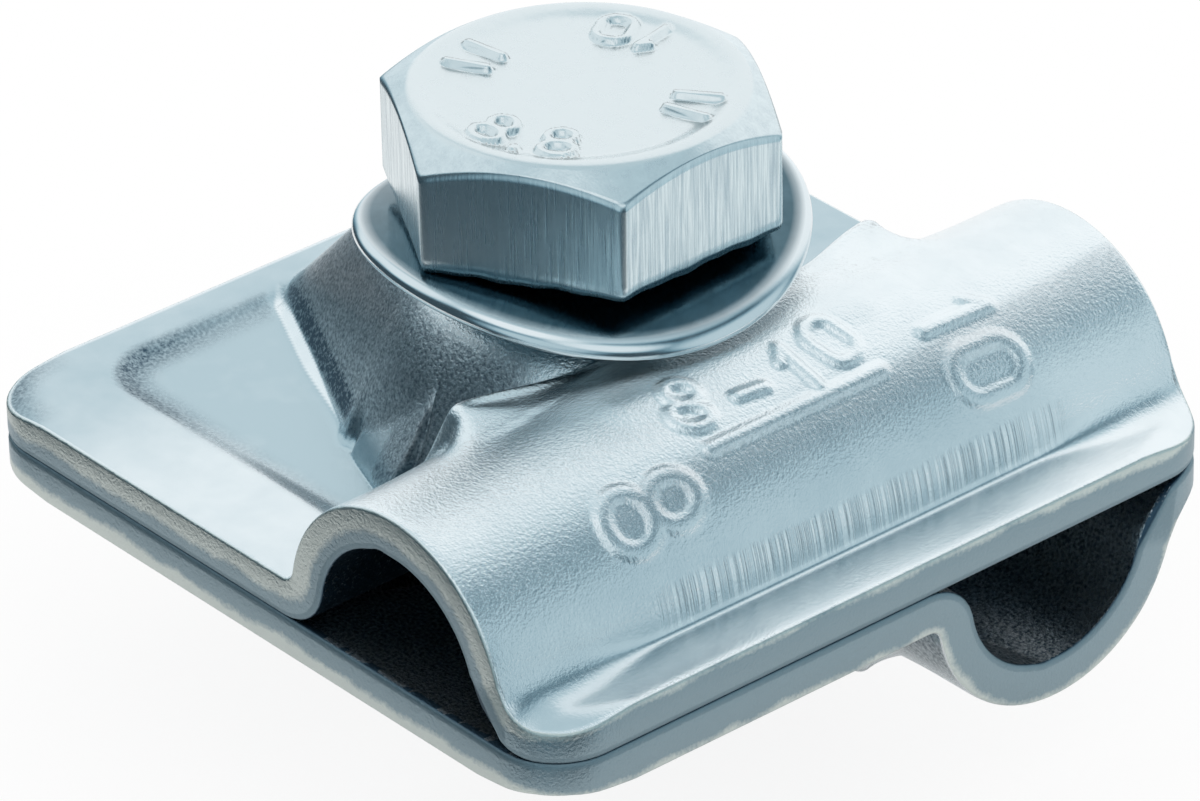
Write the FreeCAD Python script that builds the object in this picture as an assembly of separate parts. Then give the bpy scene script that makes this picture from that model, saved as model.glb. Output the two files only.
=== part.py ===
# Cross connector for round earthing conductors: two pressed clamp plates, a hexagon bolt
# and a curved spring washer.
# Millimetres, +Z up along the bolt. The origin is on the bolt axis, in the joint plane where
# the flanges of the two plates meet. The upper ridge runs along Y, the lower one along X.
import FreeCAD, Part
import math
import os

from FreeCAD import Vector

# Sheet and outline of the pressed plate, the same pressing above and below
SHEET = 2.1
PLATE_SIDE = 41.6
CORNER_RADIUS = 3.4
# The blank sits this far off the bolt axis, along X and along Y, towards the two ridges
BLANK_SHIFT = 0.4

# Half-round channel for a conductor of 8 to 10 mm, pressed across the whole plate
CONDUCTOR_RADIUS = 5.0
CONDUCTOR_PLAY = 0.4
CHANNEL_OFFSET = 10.6
CHANNEL_DEPTH = 6.7
ROOT_RADIUS = 0.9

# The ridge rises a little where the washer's end rests on it
SEAT_HEIGHT = 9.8
HUMP_HALF_LENGTH = 5.0
HUMP_END = 14.0

# Shoulder that ties the ridge to the raised seat
SHOULDER_EDGE = 5.2
SHOULDER_HALF_WIDTH = 12.6
SHOULDER_DRAFT = 0.35
SHOULDER_DROP = 0.12

# Raised seat round the bolt and the fan that carries it down to the far flange
SEAT_RADIUS = 7.6
SEAT_FOOT_RADIUS = 11.4
FAN_NORMAL_ANGLE = 62.0
FAN_TOP_REACH = 11.3
FAN_FOOT_REACH = 18.0

# Shallow coined field beside the ridge, in the face only
FIELD_DEPTH = 0.5
FIELD_BORDER_SIDE = 3.6
FIELD_BORDER_END = 5.6
FIELD_CORNER_RADIUS = 3.0

# Bolt M10 x 25, its thread drawn as a plain shank
BOLT_DIAMETER = 9.9
BOLT_LENGTH = 25.0
HEAD_SIDES = 6
HEAD_ACROSS_FLATS = 17.0
HEAD_HEIGHT = 6.2
HEAD_CHAMFER_ANGLE = 30.0
HEAD_FACE_SHARE = 0.97
HEAD_TURN = 31.0
TIP_CHAMFER = 1.0
THREAD_CLEARANCE = 0.05
HOLE_CLEARANCE = 0.55

# Drawn collar of the lower plate, which holds the thread
COLLAR_LENGTH = 3.0
COLLAR_WALL = 1.7

# Curved spring washer for the M10 bolt
WASHER_DIAMETER = 21.4
WASHER_THICKNESS = 1.0
WASHER_HEIGHT = 3.1
WASHER_HOLE_CLEARANCE = 0.3
WASHER_TURN = -10.0
CONTACT_GAP = 0.05

# Sizes that follow from the ones above
HALF_SIDE = PLATE_SIDE / 2
NEAR_EDGE = BLANK_SHIFT - HALF_SIDE
FAR_EDGE = BLANK_SHIFT + HALF_SIDE
CHANNEL_RADIUS = CONDUCTOR_RADIUS + CONDUCTOR_PLAY
CROWN_HEIGHT = CHANNEL_DEPTH + SHEET
RIDGE_RADIUS = CHANNEL_RADIUS + SHEET
BOLT_RADIUS = BOLT_DIAMETER / 2
HEAD_BASE = SEAT_HEIGHT + WASHER_HEIGHT + 2 * CONTACT_GAP
UP = Vector(0, 0, 1)
ORIGIN = Vector(0, 0, 0)

# How far a cutting body runs past the surface that it opens
OVERCUT = 1.0


def prism(points, direction):
    """A straight body on a closed polygon."""
    wire = Part.makePolygon(points + [points[0]])
    return Part.Face(wire).extrude(direction)


def rounded_slab(low, high, radius, height):
    """A flat slab between two corners, each given as (x, y), with rounded upright corners."""
    slab = Part.makeBox(high[0] - low[0], high[1] - low[1], height, Vector(low[0], low[1], 0))
    upright = []
    for edge in slab.Edges:
        first, last = edge.Vertexes[0].Point, edge.Vertexes[-1].Point
        if abs(first.z - last.z) > height / 2:
            upright.append(edge)
    return slab.makeFillet(radius, upright)


def ridge_section(y, crown, inset, base):
    """Closed outline of the ridge across its length: root arc, crown arc, root arc."""
    radius = RIDGE_RADIUS - inset
    root = ROOT_RADIUS + inset
    floor = SHEET - inset
    middle = crown - RIDGE_RADIUS
    root_height = floor + root
    reach = math.sqrt((radius + root) ** 2 - (root_height - middle) ** 2)
    centre = Vector(CHANNEL_OFFSET, y, middle)
    edges = []
    ends = []
    for side in (-1, 1):
        root_centre = Vector(CHANNEL_OFFSET + side * reach, y, root_height)
        foot = root_centre - UP * root
        towards = (centre - root_centre).normalize()
        touch = root_centre + towards * root
        bisector = (towards - UP).normalize()
        ends.append((foot, root_centre + bisector * root, touch))
    left, right = ends
    low_left = Vector(left[0].x, y, base)
    low_right = Vector(right[0].x, y, base)
    edges.append(Part.Arc(left[0], left[1], left[2]).toShape())
    edges.append(Part.Arc(left[2], centre + UP * radius, right[2]).toShape())
    edges.append(Part.Arc(right[2], right[1], right[0]).toShape())
    edges.append(Part.LineSegment(right[0], low_right).toShape())
    edges.append(Part.LineSegment(low_right, low_left).toShape())
    edges.append(Part.LineSegment(low_left, left[0]).toShape())
    return Part.Wire(edges)


def ridge(inset, base, overrun):
    """The half-round ridge across the plate, humped by the seat in the middle."""
    stations = (
        (NEAR_EDGE - overrun, CROWN_HEIGHT),
        (-HUMP_END, CROWN_HEIGHT),
        (-HUMP_HALF_LENGTH, SEAT_HEIGHT),
        (HUMP_HALF_LENGTH, SEAT_HEIGHT),
        (HUMP_END, CROWN_HEIGHT),
        (FAR_EDGE + overrun, CROWN_HEIGHT),
    )
    pieces = []
    for (y, crown), (next_y, next_crown) in zip(stations, stations[1:]):
        section = ridge_section(y, crown, inset, base)
        if crown == next_crown:
            pieces.append(Part.Face(section).extrude(Vector(0, next_y - y, 0)))
        else:
            following = ridge_section(next_y, next_crown, inset, base)
            pieces.append(Part.makeLoft([section, following], True, True))
    return pieces[0].fuse(pieces[1:])


def shoulder(inset, base):
    """Drafted block between the ridge's crown line and the seat, level with the crown."""
    slope = math.hypot(1.0, SHOULDER_DRAFT)
    fall = (SEAT_HEIGHT - CROWN_HEIGHT) / (HUMP_END - HUMP_HALF_LENGTH)
    half_width = SHOULDER_HALF_WIDTH - inset * slope
    top = SEAT_HEIGHT - SHOULDER_DROP - inset
    corner_height = top - fall * (half_width - HUMP_HALF_LENGTH)
    foot = half_width + SHOULDER_DRAFT * (corner_height + inset - base)
    points = [
        Vector(0, -foot, base),
        Vector(0, -half_width, corner_height),
        Vector(0, -HUMP_HALF_LENGTH, top),
        Vector(0, HUMP_HALF_LENGTH, top),
        Vector(0, half_width, corner_height),
        Vector(0, foot, base),
    ]
    body = prism(points, Vector(CHANNEL_OFFSET, 0, 0))
    edge = SHOULDER_EDGE + inset * slope
    low = edge - SHOULDER_DRAFT * (CROWN_HEIGHT - base)
    high = edge + SHOULDER_DRAFT * (top + OVERCUT - CROWN_HEIGHT)
    away = [
        Vector(low, 0, base),
        Vector(high, 0, top + OVERCUT),
        Vector(-PLATE_SIDE, 0, top + OVERCUT),
        Vector(-PLATE_SIDE, 0, base),
    ]
    beyond = prism(away, Vector(0, 2 * PLATE_SIDE, 0))
    beyond.translate(Vector(0, -PLATE_SIDE, 0))
    return body.cut(beyond)


def seat_reach(z, inset):
    """Distance of the seat's side from the bolt axis at a height."""
    lean = (SEAT_FOOT_RADIUS - SEAT_RADIUS) / (SEAT_HEIGHT - SHEET)
    return SEAT_RADIUS + lean * (SEAT_HEIGHT - z) - inset * math.hypot(1.0, lean)


def fan_reach(z, inset):
    """Distance of the fan's ramp from the bolt axis at a height."""
    lean = (FAN_FOOT_REACH - FAN_TOP_REACH) / (SEAT_HEIGHT - SHEET)
    return FAN_TOP_REACH + lean * (SEAT_HEIGHT - z) - inset * math.hypot(1.0, lean)


def seat(inset, base):
    """Cone under the washer, with the fan that runs out of it to the far flange."""
    top = SEAT_HEIGHT - inset
    cone = Part.makeCone(seat_reach(base, inset), seat_reach(top, inset), top - base,
                         Vector(0, 0, base))
    across = math.cos(math.radians(FAN_NORMAL_ANGLE))
    along = math.sin(math.radians(FAN_NORMAL_ANGLE))
    sections = []
    for z in (base, top):
        side = seat_reach(z, inset)
        reach = fan_reach(z, inset)
        # The fan's sides touch the cone along one line each, and start there
        start = -side * across
        wide = side * along
        narrow = (side - across * reach) / along
        sections.append(Part.makePolygon([
            Vector(start, -wide, z),
            Vector(-reach, -narrow, z),
            Vector(-reach, narrow, z),
            Vector(start, wide, z),
            Vector(start, -wide, z),
        ]))
    return cone.fuse(Part.makeLoft(sections, True, True))


def pressing():
    """The clamp plate with its flange at the joint plane and its ridge upwards."""
    near = (NEAR_EDGE, NEAR_EDGE)
    far = (FAR_EDGE, FAR_EDGE)
    flange = rounded_slab(near, far, CORNER_RADIUS, SHEET)
    # The field runs on under the ridge, which closes its fourth side
    field = rounded_slab(
        (NEAR_EDGE + FIELD_BORDER_SIDE, NEAR_EDGE + FIELD_BORDER_END),
        (CHANNEL_OFFSET, FAR_EDGE - FIELD_BORDER_END),
        FIELD_CORNER_RADIUS,
        SHEET,
    )
    field.translate(UP * (SHEET - FIELD_DEPTH))
    shell = flange.cut(field)
    for body in (ridge(0.0, 0.0, 0.0), shoulder(0.0, 0.0), seat(0.0, 0.0)):
        shell = shell.fuse(body)
    # The blank's round corners also trim the ends of the ridge
    shell = shell.common(rounded_slab(near, far, CORNER_RADIUS, SEAT_HEIGHT + OVERCUT))
    hollow = ridge(SHEET, -OVERCUT, OVERCUT)
    for body in (shoulder(SHEET, -OVERCUT), seat(SHEET, -OVERCUT)):
        hollow = hollow.fuse(body)
    return shell.cut(hollow).removeSplitter()


def turned_over(shape):
    """The same pressing below the joint plane, with its ridge across the upper one."""
    other = shape.copy()
    other.rotate(ORIGIN, Vector(1, 1, 0), 180)
    return other


def upper_plate(plate):
    """Upper clamp plate, with a clearance hole for the bolt."""
    hole = Part.makeCylinder(BOLT_RADIUS + HOLE_CLEARANCE, SEAT_HEIGHT + OVERCUT)
    return plate.cut(hole)


def lower_plate(plate):
    """Lower clamp plate, with the drawn collar that the bolt screws into."""
    bore = BOLT_RADIUS + THREAD_CLEARANCE
    low = -SEAT_HEIGHT - COLLAR_LENGTH
    collar = Part.makeCylinder(bore + COLLAR_WALL, COLLAR_LENGTH + SHEET / 2, Vector(0, 0, low))
    hole = Part.makeCylinder(bore, SEAT_HEIGHT + COLLAR_LENGTH + OVERCUT,
                             Vector(0, 0, low - OVERCUT))
    return turned_over(plate).fuse(collar).cut(hole).removeSplitter()


def hex_bolt():
    """Hexagon bolt with a chamfered head and a chamfered tip."""
    corner = HEAD_ACROSS_FLATS / 2 / math.cos(math.pi / HEAD_SIDES)
    points = []
    for i in range(HEAD_SIDES):
        angle = math.radians(HEAD_TURN) + 2 * math.pi * i / HEAD_SIDES
        points.append(Vector(corner * math.cos(angle), corner * math.sin(angle), HEAD_BASE))
    head = prism(points, UP * HEAD_HEIGHT)
    # The chamfer is a flat cone that leaves a round face on top of the head
    face = HEAD_ACROSS_FLATS / 2 * HEAD_FACE_SHARE
    rise = math.tan(math.radians(HEAD_CHAMFER_ANGLE))
    wide = face + HEAD_HEIGHT / rise
    head = head.common(Part.makeCone(wide, face, HEAD_HEIGHT, Vector(0, 0, HEAD_BASE)))
    tip = HEAD_BASE - BOLT_LENGTH
    shank = Part.makeCylinder(BOLT_RADIUS, BOLT_LENGTH - TIP_CHAMFER,
                              Vector(0, 0, tip + TIP_CHAMFER))
    end = Part.makeCone(BOLT_RADIUS - TIP_CHAMFER, BOLT_RADIUS, TIP_CHAMFER, Vector(0, 0, tip))
    return head.fuse(shank).fuse(end).removeSplitter()


def spring_washer():
    """Curved spring washer: a ring bent round a line, high in the middle, low at two ends."""
    outer = WASHER_DIAMETER / 2
    thick = WASHER_THICKNESS
    # Radius of the bend that gives the washer its free height over its width
    bend = (WASHER_HEIGHT ** 2 - thick ** 2 + outer ** 2) / (2 * (WASHER_HEIGHT - thick))
    crown = HEAD_BASE - CONTACT_GAP
    hole = BOLT_RADIUS + WASHER_HOLE_CLEARANCE
    low = Vector(0, 0, crown - WASHER_HEIGHT - OVERCUT)
    tall = WASHER_HEIGHT + 2 * OVERCUT
    ring = Part.makeCylinder(outer, tall, low).cut(Part.makeCylinder(hole, tall, low))
    start = Vector(0, -outer - OVERCUT, crown - bend)
    along = Vector(0, 1, 0)
    wide = WASHER_DIAMETER + 2 * OVERCUT
    shell = Part.makeCylinder(bend, wide, start, along)
    shell = shell.cut(Part.makeCylinder(bend - thick, wide, start, along))
    washer = ring.common(shell)
    washer.rotate(ORIGIN, UP, WASHER_TURN)
    return washer


def main():
    os.makedirs("parts", exist_ok=True)
    plate = pressing()
    nodes = {
        "upper_plate": upper_plate(plate),
        "lower_plate": lower_plate(plate),
        "hex_bolt": hex_bolt(),
        "spring_washer": spring_washer(),
    }
    for name, shape in nodes.items():
        solids = shape.Solids
        if len(solids) != 1 or not shape.isValid():
            raise ValueError(name + " is not one valid solid")
        solids[0].exportStep(os.path.join("parts", name + ".step"))
        box = shape.BoundBox
        print(name, solids[0].Volume, box)


main()
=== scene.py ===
import math
from types import SimpleNamespace

import bmesh
import bpy
import numpy as np
from bpy.props import FloatProperty, FloatVectorProperty, PointerProperty
from mathutils import Matrix, Vector


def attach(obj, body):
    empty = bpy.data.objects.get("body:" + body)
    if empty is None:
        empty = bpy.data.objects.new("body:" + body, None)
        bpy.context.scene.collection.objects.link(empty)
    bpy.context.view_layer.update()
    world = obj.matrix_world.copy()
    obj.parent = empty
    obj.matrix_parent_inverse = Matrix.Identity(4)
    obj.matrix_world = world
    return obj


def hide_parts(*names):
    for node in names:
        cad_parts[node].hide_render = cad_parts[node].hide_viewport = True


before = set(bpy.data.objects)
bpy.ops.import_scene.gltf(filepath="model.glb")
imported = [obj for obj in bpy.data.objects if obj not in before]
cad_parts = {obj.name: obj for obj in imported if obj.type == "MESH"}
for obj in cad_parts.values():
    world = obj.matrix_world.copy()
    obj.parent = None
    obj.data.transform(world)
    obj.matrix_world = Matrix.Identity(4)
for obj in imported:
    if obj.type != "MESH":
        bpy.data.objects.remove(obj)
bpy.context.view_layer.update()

bl_info = {
    "name": "Earthing cross connector",
    "version": (1, 0, 0),
    "blender": (4, 5, 0),
    "location": "3D View > Sidebar > Connector",
    "description": "Two pressed clamp plates, a hexagon bolt and a curved spring washer",
    "category": "Object",
}

MM = 0.001
NODES = {
    "plate_up": "upper_plate",
    "plate_down": "lower_plate",
    "bolt": "hex_bolt",
    "washer": "spring_washer",
}


def linear_colour(code):
    """A colour written as sRGB hex, in linear values."""
    values = []
    for start in (1, 3, 5):
        level = int(code[start:start + 2], 16) / 255
        if level <= 0.04045:
            values.append(level / 12.92)
        else:
            values.append(((level + 0.055) / 1.055) ** 2.4)
    return tuple(values)


def size_property(name, description, millimetres):
    """A length that a user may change, kept in metres."""
    return FloatProperty(
        name=name, description=description, default=millimetres * MM, unit="LENGTH",
        subtype="DISTANCE", precision=5,
    )


def colour_property(name, description, code):
    """A colour that a user may change."""
    return FloatVectorProperty(
        name=name, description=description, default=linear_colour(code), size=3,
        subtype="COLOR", min=0.0, max=1.0,
    )


class CONNECTOR_PG_plate(bpy.types.PropertyGroup):
    """Sizes of one pressed clamp plate"""

    sheet: size_property("Sheet", "Thickness of the steel sheet", 2.1)
    side: size_property("Side", "Length of each side of the plate", 41.6)
    shift: size_property("Shift", "Offset of the plate's middle from the bolt axis", 0.4)
    corner: size_property("Corner radius", "Radius of the plate's four corners", 3.4)
    rim: size_property("Rim radius", "Rounding of the cut edges", 0.16)
    offset: size_property("Channel offset", "Bolt axis to the middle of the channel", 10.6)
    channel: size_property("Channel radius", "Inner radius of the half-round channel", 5.4)
    crown: size_property("Crown height", "Height of the ridge over the joint plane", 8.8)
    seat: size_property("Seat height", "Height of the raised seat under the washer", 9.8)
    hump_half: size_property("Hump half length", "Half of the hump's full height part", 5.0)
    hump_end: size_property("Hump end", "Where the hump has run out along the ridge", 16.0)
    root: size_property("Inner root radius", "Root of the ridge beside the field", 0.75)
    crease: size_property("Outer crease radius", "Root of the ridge in mid length", 0.35)
    flare: size_property("Outer root at the ends", "Root radius near both ends", 2.0)
    shoulder_edge: size_property("Shoulder edge", "Shoulder's edge from the bolt axis", 5.4)
    shoulder_half: size_property("Shoulder half width", "Half width of the shoulder", 13.1)
    shoulder_top: size_property("Shoulder top", "Height of the shoulder's flat top", 9.45)
    seat_radius: size_property("Seat radius", "Radius of the raised seat", 7.6)
    seat_foot: size_property("Seat foot radius", "Radius of the seat's cone at its foot", 11.4)
    fan_top: size_property("Fan top reach", "Reach of the fan's ramp at its top", 11.3)
    fan_foot: size_property("Fan foot reach", "Reach of the fan's ramp at its foot", 18.5)
    field: size_property("Field depth", "Depth of the coined field", 0.5)
    field_end: size_property("Field end", "Reach of the coined field from the axis", 18.6)
    field_side: size_property("Field side", "Half width of the coined field", 15.7)
    hole: size_property("Bolt hole radius", "Radius of the upper plate's bolt hole", 5.5)
    bore: size_property("Collar bore radius", "Radius of the lower plate's collar bore", 5.0)
    collar: size_property("Collar radius", "Outer radius of the drawn collar", 6.7)
    collar_end: size_property("Collar end", "Joint plane to the end of the collar", 12.8)


class CONNECTOR_PG_bolt(bpy.types.PropertyGroup):
    """Sizes of the hexagon bolt"""

    flats: size_property("Across flats", "Width of the head across its flats", 17.0)
    base: size_property("Head base", "Joint plane to the underside of the head", 13.0)
    top: size_property("Head top", "Joint plane to the top of the head", 19.2)
    face: size_property("Face radius", "Radius of the round face on the head", 7.95)
    shank: size_property("Thread radius", "Radius over the thread's crests", 4.93)
    core: size_property("Core radius", "Radius at the thread's roots", 4.1)
    pitch: size_property("Pitch", "Thread pitch", 1.5)
    tip: size_property("Tip", "Joint plane to the tip of the bolt, downwards", 12.0)


class CONNECTOR_PG_washer(bpy.types.PropertyGroup):
    """Sizes of the curved spring washer"""

    outer: size_property("Outer radius", "Radius of the washer's rim", 10.7)
    inner: size_property("Inner radius", "Radius of the washer's hole", 5.25)
    thick: size_property("Thickness", "Thickness of the spring steel", 1.0)
    height: size_property("Free height", "Height of the curved washer", 3.1)
    crown: size_property("Crown", "Joint plane to the washer's highest line", 12.95)


class CONNECTOR_PG_colours(bpy.types.PropertyGroup):
    """Colours of the finishes"""

    # zinc_light and zinc_dark also carry painted light: the low flats take the darker tone as
    # painted shade
    zinc_light: colour_property("Zinc, light", "Bright zinc where the tool rubbed", "#F0F4F5")
    zinc_dark: colour_property("Zinc, dark", "Dull zinc of the coined flats", "#B4C7CE")
    # pressed is the colour of painted shade, for walls, creases and faces that lie in shade or
    # mirror dark
    pressed: colour_property("Pressed steel", "Rubbed, darkened press marks", "#3F5565")
    burnished: colour_property("Burnished edge", "Smooth sheared band of a cut edge", "#CDD5D1")
    torn: colour_property("Torn edge", "Rough torn band of a cut edge", "#8FA2AA")
    bolt: colour_property("Bolt", "Zinc plated bolt steel", "#DCE9EC")
    bolt_lines: colour_property("Bolt, in its lines", "Bolt steel in its lines", "#BACBD2")
    bolt_face: colour_property("Bolt face", "Bright zinc on the head's face", "#E0E6E7")
    # washer is darkened as painted shade under the bolt head, and the rim colour below it is a
    # painted highlight
    washer: colour_property("Washer", "Plated spring steel", "#5C7681")
    washer_scuff: colour_property("Washer, in its scuffs", "Scuffed spring steel", "#506973")
    washer_rim_highlight: colour_property("Washer rim", "Rolled rim, rubbed bright", "#E2E8EA")
    floor: colour_property("Floor", "Pale floor under the part", "#FFFFFF")
    tent: colour_property("Tent", "Cloth of the studio tent", "#566C78")


# Grid of the plate: rows apart in millimetres, columns, rows round a corner, and samples
# and neighbouring rows that place the columns
PLATE_SPACING = 0.25
GRID_COLUMNS = 214
CORNER_ROWS = 12
FINE_SAMPLES = 1500
ROW_REACH = 8
BORE_STEPS = 96
BOLT_STEPS = 288
WASHER_STEPS = 192
HEAD_TURN = math.radians(31.0)
HEAD_CHAMFER = math.radians(33.0)
WASHER_TURN = math.radians(-10.0)
# The fan's side walls: angle, foot, lean of the wall, and slope of the low ramp at its foot
FAN_ANGLE = math.radians(64.2)
FAN_LINE = 11.3
FAN_LEAN = 0.472
CRESCENT_SLOPE = 0.62
SHOULDER_DRAFT = 0.3
# The ridge: the hump's run-out past its end, where across the ridge it slopes off, over what
# width and by what share, and where the root starts to flare and over what length
HUMP_TAIL = 2.5
HUMP_EDGE, HUMP_SLOPE, HUMP_LOSS = 8.5, 5.0, 0.6
FLARE_START, FLARE_LENGTH = 11.0, 6.5
# The coined field: radius of its corners, and width of its wall at the side and at the end
FIELD_CORNER = 3.6
FIELD_SIDE_WALL = 1.7
FIELD_END_WALL = 1.2
# Places with soft ends, each as start, width of the rise, end and width of the fall: the
# fan's foot along its run, the fold, the squashed sheet round it and the bright lug along X,
# the stripe past the fan's line, the field's border inwards, and the dark band down the flank
FOOT_ZONE = (-0.8, 2.0, 12.6, 1.0)
FOLD_ZONE = (-4.5, 0.3, 0.1, 0.3)
SQUASH_ZONE = (-5.4, 0.7, 0.1, 0.7)
LUG_ZONE = (-4.5, 0.3, -1.9, 0.3)
STRIPE_ZONE = (-0.02, 0.08, 0.4, 0.2)
BORDER_ZONE = (0.1, 0.4, 0.7, 1.9)
BAND_ZONE = (4.0, 0.7, 5.2, 1.9)
# How much painted shade each place gets, how much of it the lug is spared, and the border's share
# away from its corners
FAN_SHADE = 0.5
STRIPE_SHADE = 0.6
BORDER_SHADE = 0.5
BAND_SHADE = 0.17
CORNER_SHADE = 0.5
LUG_BRIGHT = 0.8
BORDER_BASE = 0.55
# Drop and width of the rolled edge on the sides, what the corners add, and the outer
# flange's fall with its start past the middle of the channel
EDGE_DROP, CORNER_DROP = 0.05, 0.42
EDGE_WIDTH, CORNER_WIDTH = 0.5, 1.7
FLANGE_FALL, FLANGE_START = 0.12, 6.9
# Soft corners between the plate's forms: ridge and shoulder, body and seat, seat and ramp
SHOULDER_BLEND = 0.6
SEAT_BLEND = 0.35
SEAT_ROUND = 3.0
RAMP_ROUND = 3.2
INNER_ROUND = 0.8
# Direction across the front of the squashed folds, along -X and away from the middle, their
# front's distance from the axis, and the width over which points are drawn to it
TAB_LINE = (0.33, 0.944)
TAB_DISTANCE = 11.66
PINCH_WIDTH = 0.45
# Height of the raised lip on the shoulder's edge, and of the marks on plate and bolt head
LIP_HEIGHT = 0.16
MARK_HEIGHT = 0.18
HEAD_MARK_HEIGHT = 0.3
# Width of the marks' soft sides round the seat, on the flank and on the head, and the margin
# round the marks that gets finer faces
RING_SOFT, FLANK_SOFT, HEAD_SOFT = 0.45, 0.55, 0.15
MARK_MARGIN = 0.3
# Share of the cut edge's depth that is sheared smooth on the side that shows most, what the
# sides towards -X, +Y and +X have less, and how that changes along +X's edge
SHEARED_SHARE = 0.55
SHEARED_LESS = (0.15, 0.4, 0.45)
SHEARED_DRIFT = 0.008
# How much rounder the cut edge is on its torn side
TORN_ROUND = 2.2
# Painted shade on the cut edge past a depth, by the inner face, and on the two inner faces
RIM_SHADE = 4.0
UPPER_INNER_SHADE = 1.5
LOWER_INNER_SHADE = 0.6
INNER_EDGE = 0.85
# Depth value of the bore, and the one under which a vertex belongs to the outer face
BORE_DEPTH = 0.75
OUTER_DEPTH = 0.001


def in_mm(group):
    """The sizes of a property group as plain numbers in millimetres."""
    sizes = {}
    for key in group.__annotations__:
        sizes[key] = getattr(group, key) / MM
    return SimpleNamespace(**sizes)


def ease(t):
    """Smooth step from 0 to 1."""
    t = np.clip(t, 0.0, 1.0)
    return t * t * (3.0 - 2.0 * t)


def window(value, start, rise, end, fall):
    """1 between two places, with soft ends."""
    return ease((value - start) / rise) * (1.0 - ease((value - end) / fall))


def unique(items):
    """The items once each, in their own order."""
    return list(dict.fromkeys(items))


def bend_points(wide, deep, degrees):
    """The way across and the way down at each angle round a bend."""
    turns = [math.radians(angle) for angle in degrees]
    return [(wide * math.sin(turn), deep * (1 - math.cos(turn))) for turn in turns]


def smooth_max(a, b, width):
    """The higher of two heights, with a soft concave corner."""
    overlap = np.clip(1.0 - np.abs(a - b) / width, 0.0, 1.0)
    return np.maximum(a, b) + width * overlap ** 2 / 4


def smooth_min(a, b, width):
    """The lower of two heights, with a soft convex edge."""
    return -smooth_max(-a, -b, width)


def outline_distance(x, y, p):
    """Distance from the plate's outline, negative inside, and how far into a corner."""
    straight = p.side / 2 - p.corner
    qx = np.abs(x - p.shift) - straight
    qy = np.abs(y - p.shift) - straight
    outside = np.hypot(np.maximum(qx, 0), np.maximum(qy, 0))
    distance = outside + np.minimum(np.maximum(qx, qy), 0) - p.corner
    return distance, np.clip(np.minimum(qx, qy) / p.corner + 0.5, 0.0, 1.0)


def field_inside(x, y, p):
    """Distance inside the coined field's border, and the width of its wall there."""
    end_wall = x + p.field_end
    side_wall = p.field_side - np.abs(y)
    past_end, past_side = FIELD_CORNER - end_wall, FIELD_CORNER - side_wall
    distance = FIELD_CORNER - np.hypot(np.maximum(past_end, 0), np.maximum(past_side, 0))
    distance = distance - np.minimum(np.maximum(past_end, past_side), 0)
    share = np.clip(side_wall / np.maximum(end_wall + side_wall, 0.2), 0.0, 1.0)
    wall = FIELD_SIDE_WALL + (FIELD_END_WALL - FIELD_SIDE_WALL) * ease(share * 1.6 - 0.3)
    return distance, wall


def field_depth(x, y, p):
    """Depth of the coined field: a steep soft wall at its end, a long shallow one beside."""
    distance, width = field_inside(x, y, p)
    return p.field * ease(distance / width) * (x < p.offset)


def ridge_height(x, y, floor, inset, p):
    """The half-round ridge, its crown arc carried into the floor by a root arc each side."""
    full = p.channel + p.sheet
    away = np.abs(y)
    foot = p.hump_end + HUMP_TAIL
    hump = ease((foot - away) / (foot - p.hump_half))
    # The hump slopes off outside the seat, towards the ridge's outer flank
    hump = hump * (1.0 - HUMP_LOSS * ease((x - HUMP_EDGE) / HUMP_SLOPE))
    middle = p.crown + (p.seat - p.crown) * hump - full
    radius = full - inset
    across = x - p.offset
    ends = ease((np.abs(y - p.shift) - FLARE_START) / FLARE_LENGTH)
    root = np.where(across > 0, p.crease + (p.flare - p.crease) * ends, p.root) + inset
    root_height = floor + root
    reach = np.sqrt(np.maximum((radius + root) ** 2 - (root_height - middle) ** 2, 0.01))
    far = np.abs(across)
    touch = reach * radius / (radius + root)
    arc = middle + np.sqrt(np.maximum(radius ** 2 - far ** 2, 0.0))
    fillet = root_height - np.sqrt(np.maximum(root ** 2 - (reach - far) ** 2, 0.0))
    return np.where(far < touch, arc, np.where(far < reach, fillet, floor))


def shoulder_height(x, y, inset, p):
    """The drafted shoulder that widens the ridge towards the seat."""
    slope = math.hypot(1.0, SHOULDER_DRAFT)
    away = np.abs(y)
    # Its side draws back near the ends, and its ends grow softer towards the crown
    edge = p.shoulder_edge + inset * slope + 1.4 * ease((p.shoulder_half - 0.3 - away) / 6.4)
    side = p.crown + (x - edge) / SHOULDER_DRAFT
    soften = np.maximum(x - 6.3, 0.0)
    end_half = p.shoulder_half - inset * slope + 0.5 * soften
    end = p.crown + (end_half - away) / (SHOULDER_DRAFT + 0.9 * soften)
    # Its top falls away near the ends and past the crown line, with a lip where it breaks
    fall = 0.075 * np.maximum(x - 6.0, 0.0) ** 2 * ease((away - 7.0) / 5.0)
    top = p.shoulder_top - inset - fall - 0.3 * np.maximum(x - p.offset, 0.0) ** 2
    flank = smooth_min(side, end, 1.4)
    lip = 0.0 if inset else LIP_HEIGHT * np.exp(-(((flank - top) * 0.29 - 0.35) / 0.22) ** 2)
    return smooth_min(flank, top, 0.5) + lip * ease((away - 4.0) / 3.0) * (x < 8.5)


def fan_run(x, y):
    """Place along the fan's foot, from its outer corner towards the ridge."""
    return (x + 18.1) * math.sin(FAN_ANGLE) + (np.abs(y) - 3.9) * math.cos(FAN_ANGLE)


def fan_foot(x, y):
    """Where the low ramp at the fan's foot starts, and the share that it stands there."""
    run = fan_run(x, y)
    share = window(run, *FOOT_ZONE)
    return FAN_LINE + 0.12 + 0.5 * share * (1.0 - ease((run - 6.0) / 7.5)), share


def fan_reach(x, y):
    """Distance from the bolt axis, measured square to the fan's sides inside the fan."""
    distance = np.hypot(x, y)
    in_fan = -x > distance * math.cos(FAN_ANGLE)
    beside = -x * math.cos(FAN_ANGLE) + np.abs(y) * math.sin(FAN_ANGLE)
    return np.where(in_fan, beside, distance), in_fan


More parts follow.
